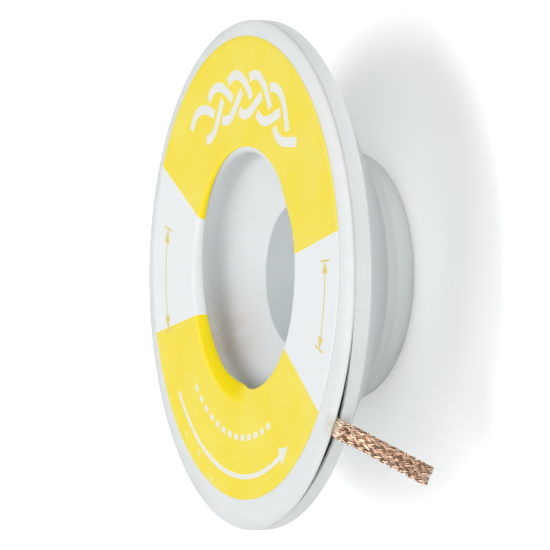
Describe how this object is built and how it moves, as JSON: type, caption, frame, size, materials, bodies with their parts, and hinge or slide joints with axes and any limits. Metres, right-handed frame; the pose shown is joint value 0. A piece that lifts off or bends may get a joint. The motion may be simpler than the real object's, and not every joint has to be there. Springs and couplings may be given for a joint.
{
  "type": "desoldering braid on a dispenser bobbin",
  "caption": "Flat woven copper desoldering braid wound in a thin white bobbin with a ring label, a sunk hub with a bore, and the braid's end leaving the rim.",
  "frame": {"origin": "on the bobbin's axis, in the plane of the boss's flat end that it stands on", "axes": "+Z along the bobbin's axis towards the printed face; +X and +Y across it, with the braid's exit 35 degrees from +X towards -Y"},
  "size_m": [0.0444, 0.042, 0.0115],
  "materials": {
    "white_plastic": "moulded, satin gloss",
    "label_paper": "printed coated paper, yellow and white sectors",
    "braid_copper": "bare woven copper wire, flux coated"
  },
  "bodies": {
    "root": {"front_flange": "white_plastic", "rear_body": "white_plastic", "face_label": "label_paper", "braid_coil": "braid_copper", "braid_tail": "braid_copper"}
  },
  "joints": []
}
